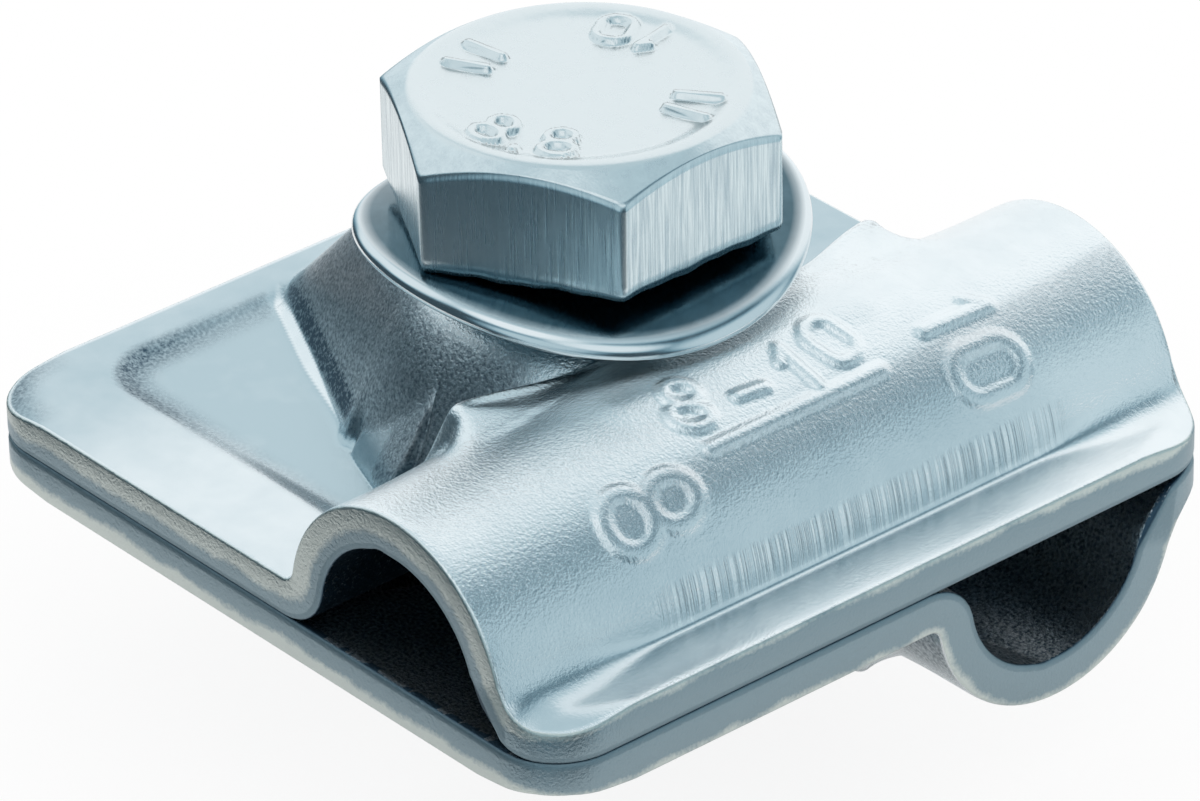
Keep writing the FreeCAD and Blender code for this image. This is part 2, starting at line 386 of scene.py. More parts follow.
def seat_height(x, y, inset, floor, p):
    """The cone under the washer with the fan that runs out of it."""
    rise = p.seat - p.sheet
    lean = (p.seat_foot - p.seat_radius) / rise
    ramp_lean = (p.fan_foot - p.fan_top) / rise
    reach, in_fan = fan_reach(x, y)
    foot, share = fan_foot(x, y)
    lean = lean + (FAN_LEAN - lean) * share
    wall = p.seat + (p.seat_radius - inset * np.hypot(1.0, lean) - reach) / lean
    if not inset:
        low = floor + CRESCENT_SLOPE * (foot - reach)
        wall = np.where(in_fan & (reach > FAN_LINE - 1.0), np.maximum(wall, low), wall)
    ramp = p.seat + (p.fan_top - inset * math.hypot(1.0, ramp_lean) + x) / ramp_lean
    body = np.where(in_fan, smooth_min(wall, ramp, INNER_ROUND if inset else RAMP_ROUND), wall)
    return smooth_min(body, p.seat - inset, INNER_ROUND if inset else SEAT_ROUND)


def tab_front(x, y):
    """Distance inside the front of the squashed fold, and the share that it stands there."""
    share = window(x, *FOLD_ZONE)
    return TAB_DISTANCE + TAB_LINE[0] * x - TAB_LINE[1] * np.abs(y), share


def tab_height(x, y, floor):
    """The squashed fold of sheet where the seat's cone runs into the ridge."""
    inside, share = tab_front(x, y)
    # A face that leans out from the middle, cut off by a steep front
    face = 2.5 + 0.62 * (x + 4.4) + 1.35 * (10.1 - np.abs(y))
    block = floor - 1.0 + (inside * 9.0 + 1.0) * share
    return smooth_min(face, block, 0.3)


def pinch(x, y):
    """Draws points near the front of the folds towards it, so that it stays crisp."""
    inside, share = tab_front(x, y)
    move = (inside * np.abs(inside) / PINCH_WIDTH - inside) * share
    move = move * (np.abs(inside) < PINCH_WIDTH)
    return x + TAB_LINE[0] * move, y - TAB_LINE[1] * np.sign(y) * move


def outer_height(x, y, p):
    """Height of the plate's outer face over the joint plane."""
    floor = p.sheet - field_depth(x, y, p)
    body = ridge_height(x, y, floor, 0.0, p)
    body = smooth_max(body, shoulder_height(x, y, 0.0, p), SHOULDER_BLEND)
    squash = window(x, *SQUASH_ZONE) * ease((np.abs(y) - 9.2) / 0.8)
    body = smooth_max(body, seat_height(x, y, 0.0, floor, p) - 0.8 * squash, SEAT_BLEND)
    body = np.maximum(body, tab_height(x, y, floor))
    body = np.minimum(body, p.seat)
    distance, corner = outline_distance(x, y, p)
    width = EDGE_WIDTH + CORNER_WIDTH * corner
    drop = EDGE_DROP + CORNER_DROP * corner
    body = body - FLANGE_FALL * np.clip((x - p.offset - FLANGE_START) / 3.6, 0.0, 1.0) ** 2
    return body - drop * np.clip(1.0 + distance / width, 0.0, 1.0) ** 2


def inner_height(x, y, p):
    """Height of the plate's inner face over the joint plane."""
    body = ridge_height(x, y, 0.0, p.sheet, p)
    body = smooth_max(body, shoulder_height(x, y, p.sheet, p), 0.9)
    body = smooth_max(body, seat_height(x, y, p.sheet, 0.0, p), 1.2)
    return np.maximum(np.minimum(body, outer_height(x, y, p) - 1.0), 0.0)


def outer_normal(x, y, p):
    """Unit normal of the outer face, and its slope."""
    step = 0.02
    along_x = (outer_height(x + step, y, p) - outer_height(x - step, y, p)) / (2 * step)
    along_y = (outer_height(x, y + step, p) - outer_height(x, y - step, p)) / (2 * step)
    length = np.sqrt(along_x ** 2 + along_y ** 2 + 1.0)
    return -along_x / length, -along_y / length, 1.0 / length, np.hypot(along_x, along_y)


def arc_points(centre_v, radius_u, radius_v, start, end):
    """Points of an elliptic arc round a place on the glyph's middle line, in degrees."""
    points = []
    for degrees in np.linspace(start, end, 19):
        angle = math.radians(degrees)
        points.append((radius_u * math.cos(angle), centre_v + radius_v * math.sin(angle)))
    return points


GLYPHS = {
    "0": [arc_points(0.2, 0.5, 0.3, 0, 180) + arc_points(-0.2, 0.5, 0.3, 180, 360)
          + [(0.5, 0.2)]],
    "1": [[(-0.3, 0.28), (0.05, 0.5), (0.05, -0.5)]],
    "8": [arc_points(0.25, 0.42, 0.25, 0, 360), arc_points(-0.25, 0.5, 0.25, 0, 360)],
    "-": [[(-0.4, 0.0), (0.4, 0.0)]],
    ".": [[(0.0, -0.48), (0.0, -0.47)]],
    "bar": [[(0.0, -0.5), (0.0, 0.5)]],
}

# Raised marks on the ridge's outer flank, by arc length from the crown line and place along
# the ridge: glyph, place down the flank, place along, width, height, stroke
FLANK_MARKS = (
    ("8", 5.6, -9.5, 2.9, 5.2, 0.8),
    ("1", 3.2, 10.8, 2.0, 4.0, 0.75),
    ("0", 6.2, 10.8, 2.5, 4.0, 0.8),
    ("bar", 4.25, 0.2, 1.0, 10.4, 0.7),
)
# Raised marks round the seat: glyph, angle from +X in degrees, radius, width, height, stroke
RING_MARKS = (
    ("8", -20.0, 13.1, 1.9, 2.5, 0.6),
    ("-", -5.0, 13.1, 2.0, 2.5, 0.6),
    ("1", 8.0, 13.1, 1.6, 2.5, 0.6),
    ("0", 19.0, 13.1, 1.8, 2.5, 0.6),
)
# Raised marks on the bolt head: glyph, angle, radius, width, height, stroke
HEAD_MARKS = (
    ("8", -84.0, 5.6, 1.6, 2.3, 0.45),
    (".", -67.0, 5.6, 1.3, 2.2, 0.6),
    ("8", -50.0, 5.6, 1.6, 2.3, 0.45),
    ("1", 102.0, 5.6, 1.1, 2.2, 0.45),
    ("0", 122.0, 5.6, 1.6, 2.2, 0.45),
    ("bar", 190.0, 5.6, 1.0, 2.0, 0.5),
    ("bar", 207.0, 5.6, 1.0, 2.0, 0.5),
    ("bar", 20.0, 5.6, 1.0, 2.0, 0.5),
    ("bar", 37.0, 5.6, 1.0, 2.0, 0.5),
)


def stroke_distance(u, v, glyph, width, height):
    """Distance of each point from the middle line of a glyph's strokes."""
    nearest = np.full(u.shape, 1e9)
    for line in GLYPHS[glyph]:
        for (u0, v0), (u1, v1) in zip(line, line[1:]):
            a = np.array((u0 * width, v0 * height))
            b = np.array((u1 * width, v1 * height))
            run = b - a
            t = ((u - a[0]) * run[0] + (v - a[1]) * run[1]) / max(run @ run, 1e-9)
            t = np.clip(t, 0.0, 1.0)
            nearest = np.minimum(nearest, np.hypot(u - a[0] - t * run[0], v - a[1] - t * run[1]))
    return nearest


def raised(u, v, size, glyph, soft):
    """Share of a mark's height at each point, and the points that lie near it."""
    width, height, stroke = size
    share = np.zeros(u.shape)
    near = stroke + MARK_MARGIN
    inside = (np.abs(u) < width / 2 + near) & (np.abs(v) < height / 2 + near)
    if inside.any():
        distance = stroke_distance(u[inside], v[inside], glyph, width, height)
        share[inside] = 1.0 - ease((distance - stroke / 2 + soft / 2) / soft)
    return share, inside


def ring_marks(x, y, marks, soft):
    """Share of the height of marks set round the bolt axis, and the points near them."""
    total = np.zeros(x.shape)
    area = np.zeros(x.shape, bool)
    for glyph, angle, radius, *size in marks:
        turn = math.radians(angle)
        out = x * math.cos(turn) + y * math.sin(turn)
        side = -x * math.sin(turn) + y * math.cos(turn)
        share, inside = raised(side, radius - out, size, glyph, soft)
        total = np.maximum(total, share)
        area |= inside
    return total, area


def flank_length(x, p):
    """Arc length from the crown line down the ridge's outer flank."""
    full = p.channel + p.sheet
    return full * np.arcsin(np.clip((x - p.offset) / full, -1.0, 1.0))


def plate_marks(x, y, p):
    """Share of the raised marks' height on the plate, and the points near them."""
    total, area = ring_marks(x, y, RING_MARKS, RING_SOFT)
    down = flank_length(x, p)
    for glyph, place, along, *size in FLANK_MARKS:
        share, inside = raised(down - place, y - along, size, glyph, FLANK_SOFT)
        total = np.maximum(total, share)
        area |= inside
    return total, area


def plate_rows(p):
    """Rows of the plate's grid, each with its place across and its two ends."""
    half = p.side / 2 - p.rim
    radius = p.corner - p.rim
    low, high = p.shift - half, p.shift + half
    round_corner = bend_points(radius, radius, [90 * k / CORNER_ROWS for k in range(CORNER_ROWS)])
    count = round((high - low - 2 * radius) / PLATE_SPACING)
    rows = [(low + down, radius - out) for out, down in round_corner]
    for k in range(count + 1):
        rows.append((low + radius + (high - low - 2 * radius) * k / count, 0.0))
    rows += [(high - down, radius - out) for out, down in reversed(round_corner)]
    place = np.array([row[0] for row in rows])
    cut = np.array([row[1] for row in rows])
    return place, low + cut, high - cut


def spread_columns(place, start, end, p):
    """Columns spread evenly along the pressed surface, so that steep walls get enough."""
    share = np.linspace(0.0, 1.0, FINE_SAMPLES)
    x = start[:, None] + (end - start)[:, None] * share[None, :]
    z = outer_height(x, np.repeat(place[:, None], FINE_SAMPLES, 1), p)
    length = np.hypot(np.diff(x, axis=1), np.diff(z, axis=1))
    total = np.concatenate([np.zeros((len(place), 1)), np.cumsum(length, axis=1)], axis=1)
    total /= total[:, -1:]
    # Averaged over neighbouring rows, so that the columns run smoothly across the plate
    padded = np.pad(total, ((ROW_REACH, ROW_REACH), (0, 0)), mode="edge")
    smooth = np.zeros_like(total)
    for k in range(2 * ROW_REACH + 1):
        smooth += padded[k:k + len(place)]
    smooth /= 2 * ROW_REACH + 1
    wanted = np.linspace(0.0, 1.0, GRID_COLUMNS)
    columns = np.empty((len(place), GRID_COLUMNS))
    for j in range(len(place)):
        columns[j] = start[j] + (end[j] - start[j]) * np.interp(wanted, smooth[j], share)
    return columns


def add_sheet(bm, x, y, z):
    """One face of the plate as a grid, returned as rows of vertices."""
    rows, columns = x.shape
    made = bmesh.ops.create_grid(bm, x_segments=columns - 1, y_segments=rows - 1, size=1.0)
    grid = np.empty(x.shape, object)
    for vert in made["verts"]:
        j = round((vert.co.y + 1) / 2 * (rows - 1))
        i = round((vert.co.x + 1) / 2 * (columns - 1))
        grid[j, i] = vert
        vert.co = (x[j, i], y[j, i], z[j, i])
    return grid


def loop_of(grid):
    """The vertices round a grid, in order."""
    return list(grid[0, :]) + list(grid[1:, -1]) + list(grid[-1, -2::-1]) + list(grid[-2:0:-1, 0])


def ring_edges(verts):
    """The edges that join a closed loop of vertices in turn."""
    edges = []
    for a, b in zip(verts, verts[1:] + verts[:1]):
        edges.append(next(e for e in a.link_edges if e.other_vert(a) is b))
    return edges


def extrude_ring(bm, ring, places, order):
    """Extrudes a closed ring once and puts the new ring in its places."""
    for k, vert in enumerate(ring):
        vert[order] = k
    made = bmesh.ops.extrude_edge_only(bm, edges=ring_edges(ring))
    fresh = [item for item in made["geom"] if isinstance(item, bmesh.types.BMVert)]
    result = [None] * len(ring)
    for vert in fresh:
        k = vert[order]
        vert.co = places[k]
        result[k] = vert
    return result


def close_rim(bm, top, bottom, p, layers):
    """The rounded cut edge between the two faces of the plate."""
    outer = loop_of(top)
    inner = loop_of(bottom)
    xs = np.array([v.co.x for v in outer])
    ys = np.array([v.co.y for v in outer])
    step = 0.01
    out_x = outline_distance(xs + step, ys, p)[0] - outline_distance(xs - step, ys, p)[0]
    out_y = outline_distance(xs, ys + step, p)[0] - outline_distance(xs, ys - step, p)[0]
    outward = [Vector((a, b, 0)).normalized() for a, b in zip(out_x, out_y)]
    starts = [v.co.copy() for v in outer]
    ends = [v.co.copy() for v in inner]
    across = [(b - a).normalized() for a, b in zip(starts, ends)]
    ring = outer
    stations = [(starts, out, deep) for out, deep in bend_points(p.rim, p.rim, (30, 60, 90))]
    torn = TORN_ROUND * p.rim
    stations += [(ends, out, -deep) for out, deep in bend_points(p.rim, torn, (90, 60, 30, 0))]
    west, north, east = SHEARED_LESS
    for base, out, deep in stations:
        places = []
        for k in range(len(ring)):
            places.append(base[k] + outward[k] * out + across[k] * deep)
        ring = extrude_ring(bm, ring, places, layers.order)
        for k, vert in enumerate(ring):
            vert[layers.depth] = (places[k] - starts[k]).length / (ends[k] - starts[k]).length
            # Painted shade on the band of the cut edge next to the inner face
            vert[layers.dull] = RIM_SHADE if vert[layers.depth] > INNER_EDGE else 0.0
            away = outward[k]
            less = west * max(-away.x, 0) + north * max(away.y, 0)
            less += (east - SHEARED_DRIFT * max(ys[k], 0)) * max(away.x, 0)
            vert[layers.sheared] = SHEARED_SHARE - less
    for vert in outer:
        vert[layers.depth] = 0.02
    bmesh.ops.remove_doubles(bm, verts=ring + inner, dist=1e-4)


def outline(bm, profile, closed=False):
    """Vertices and edges of an outline given by radius and height."""
    line = [bm.verts.new((radius, 0.0, height)) for radius, height in profile]
    after = line[1:] + line[:1] if closed else line[1:]
    return line, [bm.edges.new(pair) for pair in zip(line, after)]


def spin_round(bm, geom, steps):
    """Spins an outline once round the Z axis."""
    bmesh.ops.spin(
        bm, geom=geom, cent=(0, 0, 0), axis=(0, 0, 1), dvec=(0, 0, 0),
        angle=2 * math.pi, steps=steps, use_merge=True, use_duplicate=False,
    )


def open_edges(bm, limit, test):
    """Boundary edges near the bolt axis that pass a test on their middle's height."""
    edges = []
    for edge in bm.edges:
        if edge.is_boundary:
            middle = (edge.verts[0].co + edge.verts[1].co) / 2
            if math.hypot(middle.x, middle.y) < limit and test(middle.z):
                edges.append(edge)
    return edges


def clear_disc(bm, grid, radius):
    """Deletes the faces of a grid that lie wholly or partly inside a radius."""
    inside = [v for v in grid.flat if math.hypot(v.co.x, v.co.y) < radius]
    bmesh.ops.delete(bm, geom=unique(f for v in inside for f in v.link_faces), context="FACES")


def bore_profile(p, tapped):
    """Radius and height down the bore, and the radii to clear in the outer and inner faces."""
    seat, under = p.seat, p.seat - p.sheet
    if not tapped:
        hole = p.hole
        profile = [(hole + 0.35, seat), (hole + 0.18, seat - 0.03), (hole + 0.05, seat - 0.12),
                   (hole, seat - 0.3), (hole, under + 0.3), (hole + 0.3, under)]
        return profile, 6.25, 6.2
    # The collar grows out of the seat on a round of 0.6 mm
    profile = [(7.5, seat)]
    for out, deep in bend_points(0.6, 0.6, (0, 22, 45, 68, 90)):
        profile.append((7.3 - out, seat + deep))
    profile += [(p.collar, p.collar_end - 0.35), (p.collar - 0.1, p.collar_end - 0.1),
                (p.collar - 0.35, p.collar_end), (p.bore + 0.4, p.collar_end),
                (p.bore, p.collar_end - 0.4), (p.bore, under + 0.5), (p.bore + 0.45, under)]
    return profile, 7.85, 5.95


def put_on(vert, height_at, p):
    """Sets a vertex to the height of one of the plate's faces."""
    vert.co.z = float(height_at(np.array(vert.co.x), np.array(vert.co.y), p))


def open_bore(bm, top, bottom, p, tapped, layers):
    """Opens both faces round the bolt axis and joins them by the bore."""
    profile, outer_clear, inner_clear = bore_profile(p, tapped)
    clear_disc(bm, top, outer_clear)
    clear_disc(bm, np.array([v for v in bottom.flat if v.is_valid], object), inner_clear)
    loose = [v for v in bm.verts if not v.link_faces]
    bmesh.ops.delete(bm, geom=loose, context="VERTS")
    old = set(bm.verts)
    line, edges = outline(bm, profile)
    spin_round(bm, line + edges, BORE_STEPS)
    tube = [v for v in bm.verts if v not in old]
    (end_high, seat), (end_low, under) = profile[0], profile[-1]
    for vert in tube:
        radius = math.hypot(vert.co.x, vert.co.y)
        vert[layers.depth] = BORE_DEPTH
        if abs(radius - end_high) < 1e-4 and abs(vert.co.z - seat) < 1e-4:
            put_on(vert, outer_height, p)
            vert[layers.depth] = 0.0
        if abs(radius - end_low) < 1e-4 and abs(vert.co.z - under) < 1e-4:
            put_on(vert, inner_height, p)
    split = (seat + under) / 2
    tube_edges = {e for v in tube for e in v.link_edges if e.is_boundary}
    for above, clear, height_at in ((True, outer_clear, outer_height),
                                    (False, inner_clear, inner_height)):
        near = open_edges(bm, 10.5, lambda height: (height > split) == above)
        own = [e for e in near if e in tube_edges]
        sheet_edges = [e for e in near if e not in tube_edges]
        # The sheet's stepped opening becomes a circle before it meets the tube
        for vert in unique(v for e in sheet_edges for v in e.verts):
            share = clear / math.hypot(vert.co.x, vert.co.y)
            vert.co.x, vert.co.y = vert.co.x * share, vert.co.y * share
            put_on(vert, height_at, p)
        bmesh.ops.bridge_loops(bm, edges=own + sheet_edges)


def pressing(p, tapped):
    """The pressed plate in millimetres, its ridge upwards and along Y."""
    bm = bmesh.new()
    layers = SimpleNamespace(order=bm.verts.layers.int.new("order"))
    for name in ("depth", "dull", "low_tone", "striae", "run", "calm", "sheared"):
        setattr(layers, name, bm.verts.layers.float.new(name))
    place, start, end = plate_rows(p)
    x = spread_columns(place, start, end, p)
    y = np.repeat(place[:, None], GRID_COLUMNS, 1)
    z = outer_height(x, y, p)
    top = add_sheet(bm, x, y, z)
    # The inner face lies one sheet below, measured square to each row's curve
    along = np.gradient(z, axis=1) / np.maximum(np.gradient(x, axis=1), 1e-6)
    inner_x = np.maximum.accumulate(x + p.sheet * along / np.hypot(1.0, along), axis=1)
    # A hair of slope keeps the columns in order where they would meet
    ramp = np.linspace(0.0, 1e-3, GRID_COLUMNS)[None, :]
    inner_x = np.clip(inner_x + ramp, start[:, None], end[:, None])
    inner_x[:, 0], inner_x[:, -1] = start, end
    bottom = add_sheet(bm, inner_x, y, inner_height(inner_x, y, p))
    for vert in bottom.flat:
        vert[layers.depth] = 1.0
        # Painted shade on the inner faces, darker on the upper plate
        vert[layers.dull] = LOWER_INNER_SHADE if tapped else UPPER_INNER_SHADE
    bmesh.ops.reverse_faces(bm, faces=unique(f for v in bottom.flat for f in v.link_faces))
    close_rim(bm, top, bottom, p, layers)
    open_bore(bm, top, bottom, p, tapped, layers)
    refine_marks(bm, p, layers)
    finish_plate(bm, p, layers)
    return bm


def refine_marks(bm, p, layers):
    """Finer faces where the marks and the upright steps stand."""
    faces = [f for f in bm.faces if all(v[layers.depth] < OUTER_DEPTH for v in f.verts)]
    centres = np.array([f.calc_center_median()[:2] for f in faces])
    x, y = centres[:, 0], centres[:, 1]
    _, area = plate_marks(x, y, p)
    _, share = fan_foot(x, y)
    reach, in_fan = fan_reach(x, y)
    area |= in_fan & (share > 0.01) & (np.abs(FAN_LINE + 0.1 - reach) < 0.6)
    inside, share = tab_front(x, y)
    area |= (share > 0.01) & (np.abs(inside) < 0.8)
    edges = unique(e for f, chosen in zip(faces, area) if chosen for e in f.edges)
    bmesh.ops.subdivide_edges(bm, edges=edges, cuts=1, use_grid_fill=True)


def plate_light_and_lines(x, y, z, slope, p):
    """Values of the outer face's painted light, drawing lines and bands, by layer."""
    reach, in_fan = fan_reach(x, y)
    foot, share = fan_foot(x, y)
    past = FAN_LINE - reach
    # Painted shade: the fan's walls but for the lug, and the stripe along their foot
    lug = window(x, *LUG_ZONE) * ease((np.abs(y) - 9.95) / 0.2)
    fan_side = ease((slope - 0.9) / 0.5) * ease((5.0 - x) / 1.5) * (z > p.sheet)
    fan_side = fan_side * (1.0 - LUG_BRIGHT * lug)
    stripe = share * in_fan * window(past, *STRIPE_ZONE)
    # Painted shade on the coined field's border, most at its far corners, and a painted dark
    # reflection on the rolled corner
    border, _ = field_inside(x, y, p)
    corner = ease((-x - 9.0) / 6.0) * ease((np.abs(y) - 7.0) / 6.0)
    pocket = window(border, *BORDER_ZONE) * (BORDER_BASE + 0.7 * corner)
    pocket = pocket * (z < p.sheet) * (past < -0.8) * (x < p.offset)
    distance, rolled = outline_distance(x, y, p)
    rolled = rolled * ease((distance + 1.9) / 1.5) * (x < 0) * (y < 0)
    # A band of painted shade down the ridge's outer flank that drifts towards the crown
    down = flank_length(x, p)
    drift = 0.085 * np.maximum(y - 4.0, 0.0)
    band = window(down + drift, *BAND_ZONE) * ease((y + 14.0) / 5.0)
    dull = FAN_SHADE * fan_side + STRIPE_SHADE * stripe + BORDER_SHADE * pocket
    dull = dull + BAND_SHADE * band + CORNER_SHADE * rolled
    # Painted shade: a darker tone on the low flats, the coined field and the lower flank, with
    # painted highlights left on the low ramp and a strip by the front edge
    crescent = share * in_fan * (past < 0.02) * ease((foot - reach) / 0.1)
    light = ease((x + 18.0) / 12.0) * ease((-13.0 - y) / 3.0) * (x < p.offset)
    sunk = field_depth(x, y, p) / p.field
    low_tone = 1.0 - ease((z - p.sheet - 0.3) / 1.2)
    low_tone = low_tone * (0.86 + 0.14 * ease(2.0 * sunk - 0.5)) * (x < p.offset) * (1.0 - crescent)
    low_tone = low_tone * (1.0 - 0.75 * light)
    low_tone = np.maximum(low_tone, 0.4 * ease((down - 5.0) / 2.5) * (1.0 - ease((y - 9.0) / 7.0)))
    flank = (x - p.offset > 5.0) * (z > p.sheet + 0.25)
    return {
        "dull": np.clip(dull, 0.0, 1.0),
        "low_tone": low_tone,
        "striae": ease((4.5 - z) / 0.4) * flank * (1.0 - ease((np.abs(y - 1.6) - 10.0) / 3.5)),
        "run": y,
        "calm": 1.0 - ease((z - p.sheet - 0.15) / 0.9),
    }


def finish_plate(bm, p, layers):
    """Puts every outer vertex on the surface and writes its painted light, drawing lines and bump
    values.
    """
    verts = [v for v in bm.verts if v[layers.depth] < OUTER_DEPTH]
    x, y = pinch(np.array([v.co.x for v in verts]), np.array([v.co.y for v in verts]))
    z = outer_height(x, y, p)
    nx, ny, nz, slope = outer_normal(x, y, p)
    lift = MARK_HEIGHT * plate_marks(x, y, p)[0]
    light_and_lines = plate_light_and_lines(x, y, z, slope, p)
    for k, vert in enumerate(verts):
        vert.co = (x[k] + nx[k] * lift[k], y[k] + ny[k] * lift[k], z[k] + nz[k] * lift[k])
        for name, values in light_and_lines.items():
            vert[getattr(layers, name)] = float(values[k])


def finish_object(bm, name, material):
    """Turns a mesh in millimetres into a finished object in metres."""
    bmesh.ops.recalc_face_normals(bm, faces=bm.faces[:])
    bmesh.ops.scale(bm, vec=(MM, MM, MM), verts=bm.verts[:])
    for face in bm.faces:
        face.smooth = True
    mesh = bpy.data.meshes.new(name)
    bm.to_mesh(mesh)
    bm.free()
    piece = bpy.data.objects.new(name, mesh)
    bpy.context.scene.collection.objects.link(piece)
    mesh.materials.append(material)
    return piece


def add_node(tree, kind, links=None, **settings):
    """Adds a shader node, with its settings, and its inputs set or linked."""
    node = tree.nodes.new(kind)
    for key, value in settings.items():
        setattr(node, key, value)
    for key, value in (links or {}).items():
        if isinstance(value, bpy.types.NodeSocket):
            tree.links.new(value, node.inputs[key])
        else:
            node.inputs[key].default_value = value
    return node


def bare_tree(owner):
    """The emptied node tree of a material or a world."""
    owner.use_nodes = True
    owner.node_tree.nodes.clear()
    return owner.node_tree


def new_metal(name):
    """A metal with an empty tree but its shader and output."""
    material = bpy.data.materials.new(name)
    tree = bare_tree(material)
    shader = add_node(tree, "ShaderNodeBsdfPrincipled", {"Metallic": 1.0})
    add_node(tree, "ShaderNodeOutputMaterial", {"Surface": shader.outputs["BSDF"]})
    return material, tree, shader


def rgba(colour):
    """A colour with full alpha."""
    return (colour[0], colour[1], colour[2], 1.0)


def mix_colour(tree, share, first, second):
    """A mix of two colours or sockets."""
    sockets = {0: share, 6: first, 7: second}
    return add_node(tree, "ShaderNodeMix", sockets, data_type="RGBA").outputs[2]


def math_node(tree, operation, *values, clamp=False):
    """The result of an operation on values or sockets."""
    sockets = dict(enumerate(values))
    return add_node(
        tree, "ShaderNodeMath", sockets, operation=operation, use_clamp=clamp).outputs[0]


def map_range(tree, value, start, end, low=0.0, high=1.0, curve="LINEAR"):
    """A value carried from one range to another and held at its ends."""
    sockets = {"Value": value, "From Min": start, "From Max": end, "To Min": low, "To Max": high}
    return add_node(tree, "ShaderNodeMapRange", sockets, interpolation_type=curve).outputs[0]


def attribute(tree, name):
    """A value kept on the mesh."""
    return add_node(tree, "ShaderNodeAttribute", attribute_name=name).outputs["Fac"]


def object_place(tree):
    """The place on the piece itself."""
    return add_node(tree, "ShaderNodeTexCoord").outputs["Object"]


def noise(tree, place, size, detail, roughness):
    """Noise whose largest grains have a size in millimetres."""
    return add_node(tree, "ShaderNodeTexNoise", {
        "Vector": place, "Scale": 1 / (size * MM), "Detail": detail,
        "Roughness": roughness}).outputs["Fac"]


def surface(tree, shader, colour, rough, height, strength, depth):
    """Links the shader's colour and roughness, and a bump of a depth in millimetres."""
    bump = add_node(tree, "ShaderNodeBump", {
        "Height": height, "Strength": strength, "Distance": depth * MM})
    tree.links.new(colour, shader.inputs["Base Color"])
    tree.links.new(rough, shader.inputs["Roughness"])
    tree.links.new(bump.outputs["Normal"], shader.inputs["Normal"])


def zinc_sheet(colours):
    """Zinc coated sheet: a fine hammered grain that sparkles, with mottled painted shade on the
    press walls, creases, cut edge and inner faces.
    """
    material, tree, shader = new_metal("zinc_coated_sheet")
    place = object_place(tree)
    # Grain of the coat, about 0.18 mm, finer grains in it, and clouds of about 3 mm
    grain = noise(tree, place, 0.18, 3.0, 0.6)
    fine = noise(tree, place, 0.12, 2.0, 0.6)
    cloud = noise(tree, place, 3.0, 3.0, 0.55)
    tone = map_range(tree, cloud, 0.3, 0.7, -0.06, 0.14)
    # The low parts take zinc_dark as painted shade; the low ramp and a strip by the front edge
    # keep painted highlights
    tone = math_node(tree, "ADD", tone, attribute(tree, "low_tone"), clamp=True)
    coat = mix_colour(tree, tone, rgba(colours.zinc_light), rgba(colours.zinc_dark))
    # The painted shade follows the grain, so that it looks mottled
    wander = map_range(tree, grain, 0.35, 0.65, 1.6, 0.4)
    rubbed = math_node(tree, "MULTIPLY", attribute(tree, "dull"), wander, clamp=True)
    # Mixes in the dark colour of painted shade
    coat = mix_colour(tree, rubbed, coat, rgba(colours.pressed))
    # Bright drawing lines across the foot of the flank, one every 0.35 mm or so
    lines = add_node(tree, "ShaderNodeTexNoise", {
        "W": attribute(tree, "run"), "Scale": 1 / 0.35, "Detail": 3.0, "Roughness": 0.7},
        noise_dimensions="1D").outputs["Fac"]
    lines = math_node(tree, "MULTIPLY", map_range(tree, lines, 0.47, 0.53),
                      attribute(tree, "striae"))
    coat = mix_colour(tree, lines, coat, rgba(colours.zinc_light))
    # Cut edge: a smooth sheared band by the outer face, then a torn one with a ragged line
    depth = attribute(tree, "depth")
    past = math_node(tree, "SUBTRACT", depth, attribute(tree, "sheared"))
    ragged = math_node(tree, "MULTIPLY_ADD", cloud, 0.5, past)
    ragged = math_node(tree, "MULTIPLY_ADD", grain, 0.22, ragged)
    step = map_range(tree, ragged, 0.3, 0.46)
    edge_colour = mix_colour(tree, step, rgba(colours.burnished), rgba(colours.torn))
    edge = math_node(tree, "MULTIPLY", map_range(tree, depth, 0.03, 0.06),
                     map_range(tree, depth, 0.97, 0.995, 1.0, 0.0))
    colour = mix_colour(tree, edge, coat, edge_colour)
    rough = math_node(tree, "MULTIPLY_ADD", edge, 0.14, 0.24)
    rough = math_node(tree, "MULTIPLY_ADD", rubbed, 0.2, rough)
    relief = math_node(tree, "MULTIPLY_ADD", fine, 0.4, grain)
    relief = math_node(tree, "MULTIPLY_ADD", lines, 0.7, relief)
    firm = map_range(tree, attribute(tree, "calm"), 0.0, 1.0, 1.0, 0.25)
    surface(tree, shader, colour, rough, relief, firm, 0.035)
    return material


def bolt_steel(colours):
    """Zinc plated bolt steel: drawn lines up the flats, a softly hammered face on top."""
    material, tree, shader = new_metal("zinc_plated_bolt_steel")
    place = object_place(tree)
    stretched = add_node(tree, "ShaderNodeMapping", {
        "Vector": place, "Scale": (1.0, 1.0, 0.035)}).outputs[0]
    lines = noise(tree, stretched, 0.13, 3.0, 0.6)
    grain = noise(tree, place, 0.6, 3.0, 0.55)
    face = attribute(tree, "face")
    pattern = add_node(tree, "ShaderNodeMix", {0: face, 2: lines, 3: grain},
                       data_type="FLOAT").outputs[0]
    tone = map_range(tree, pattern, 0.36, 0.62)
    colour = mix_colour(tree, tone, rgba(colours.bolt_lines), rgba(colours.bolt))
    colour = mix_colour(tree, face, colour, rgba(colours.bolt_face))
    rough = map_range(tree, tone, 0.0, 1.0, 0.28, 0.22)
    surface(tree, shader, colour, rough, pattern, 0.5, 0.02)
    return material


